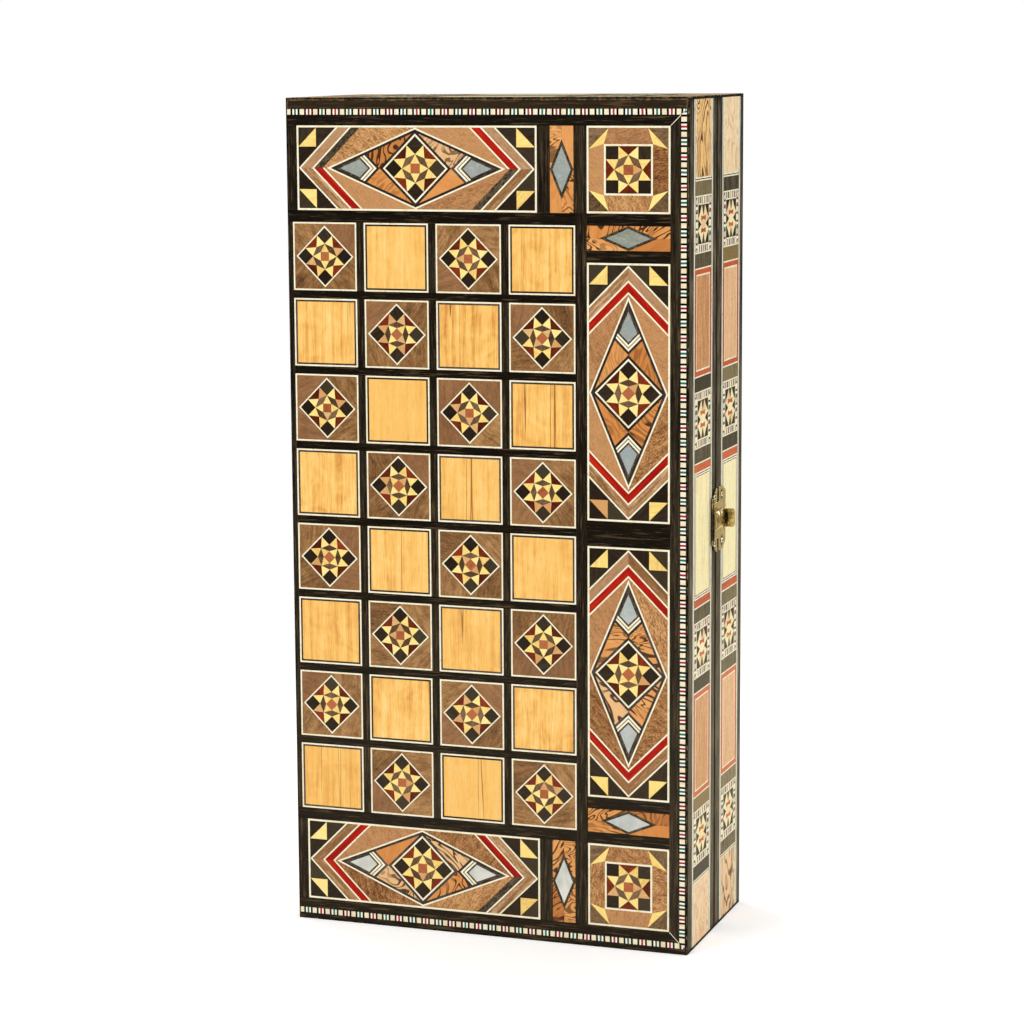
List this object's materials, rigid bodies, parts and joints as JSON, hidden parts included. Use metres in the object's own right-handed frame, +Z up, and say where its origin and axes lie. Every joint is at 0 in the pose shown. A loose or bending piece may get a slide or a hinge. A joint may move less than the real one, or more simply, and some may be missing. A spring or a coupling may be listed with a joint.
{
  "type": "folding chess and backgammon board",
  "caption": "Folding case in two hinged trays, with an inlaid chessboard across the outside, a backgammon table inside and a brass clasp.",
  "frame": {"origin": "on the ground under the middle of the shut case, at the middle of its bounding box, hinge knuckles and clasp tab included", "axes": "+X from the hinge side to the clasp side, +Y from the front half to the back half, +Z up along the length of the board"},
  "size_m": [0.259, 0.119, 0.5],
  "materials": {
    "stained_case": "black stained hardwood under old shellac, worn brown on the arrises",
    "ebony": "ebonised veneer, satin polish, faint long grain",
    "maple": "honey maple veneer, straight grain, satin polish",
    "walnut": "walnut veneer with fine pores, satin polish",
    "floor_walnut": "walnut veneer, long grain, satin polish",
    "light_walnut": "pale mottled walnut, satin polish",
    "brown_walnut": "dark brown walnut, satin polish",
    "lemonwood": "pale yellow lemonwood, satin polish",
    "redwood": "dark red dyed wood, satin polish",
    "olive_wood": "orange olive wood with dark streaks, satin polish",
    "mosaic_string": "mosaic of bone, black, red and green sticks, satin polish",
    "bone": "polished bone",
    "mother_of_pearl": "polished grey mother-of-pearl",
    "aged_brass": "worn brass, dulled in the recesses"
  },
  "bodies": {
    "back_half": {"back_panel": "stained_case", "back_hinge_wall": "stained_case", "back_latch_wall": "stained_case", "back_top_wall": "stained_case", "back_bottom_wall": "stained_case", "back_floor": "floor_walnut", "back_dark_points": "redwood", "back_light_points": "maple", "back_ebony_ground": "ebony", "back_maple_fields": "maple", "back_walnut_fields": "walnut", "back_bone_lines": "bone", "back_dark_lines": "ebony", "back_star_points": "lemonwood", "back_star_hearts": "brown_walnut", "back_red_inlays": "redwood", "back_ebony_inlays": "ebony", "back_pearl_inlays": "mother_of_pearl", "back_olive_inlays": "olive_wood", "back_light_bands": "light_walnut", "back_mosaic_string": "mosaic_string", "back_hinge_leaves": "aged_brass", "back_hinge_screws": "aged_brass", "back_clasp_nails": "aged_brass", "hinge_pins": "aged_brass", "clasp_keeper": "aged_brass"},
    "front_half": {"front_panel": "stained_case", "front_hinge_wall": "stained_case", "front_latch_wall": "stained_case", "front_top_wall": "stained_case", "front_bottom_wall": "stained_case", "front_floor": "floor_walnut", "front_dark_points": "redwood", "front_light_points": "maple", "front_ebony_ground": "ebony", "front_maple_fields": "maple", "front_walnut_fields": "walnut", "front_bone_lines": "bone", "front_dark_lines": "ebony", "front_star_points": "lemonwood", "front_star_hearts": "brown_walnut", "front_red_inlays": "redwood", "front_ebony_inlays": "ebony", "front_pearl_inlays": "mother_of_pearl", "front_olive_inlays": "olive_wood", "front_light_bands": "light_walnut", "front_mosaic_string": "mosaic_string", "front_hinge_leaves": "aged_brass", "front_hinge_screws": "aged_brass", "front_clasp_nails": "aged_brass", "clasp_plate": "aged_brass", "clasp_pin": "aged_brass"},
    "hasp": {"clasp_hasp": "aged_brass"}
  },
  "joints": [
    {"name": "board_fold", "type": "hinge", "parent": "back_half", "child": "front_half", "pos_m": [-0.12735, 0, 0.25], "axis": [0, 0, -1], "range_deg": [0, 180]},
    {"name": "hasp_swing", "type": "hinge", "parent": "front_half", "child": "hasp", "pos_m": [0.12135, -0.0104, 0.2505], "axis": [0, 0, -1], "range_deg": [0, 150]}
  ]
}
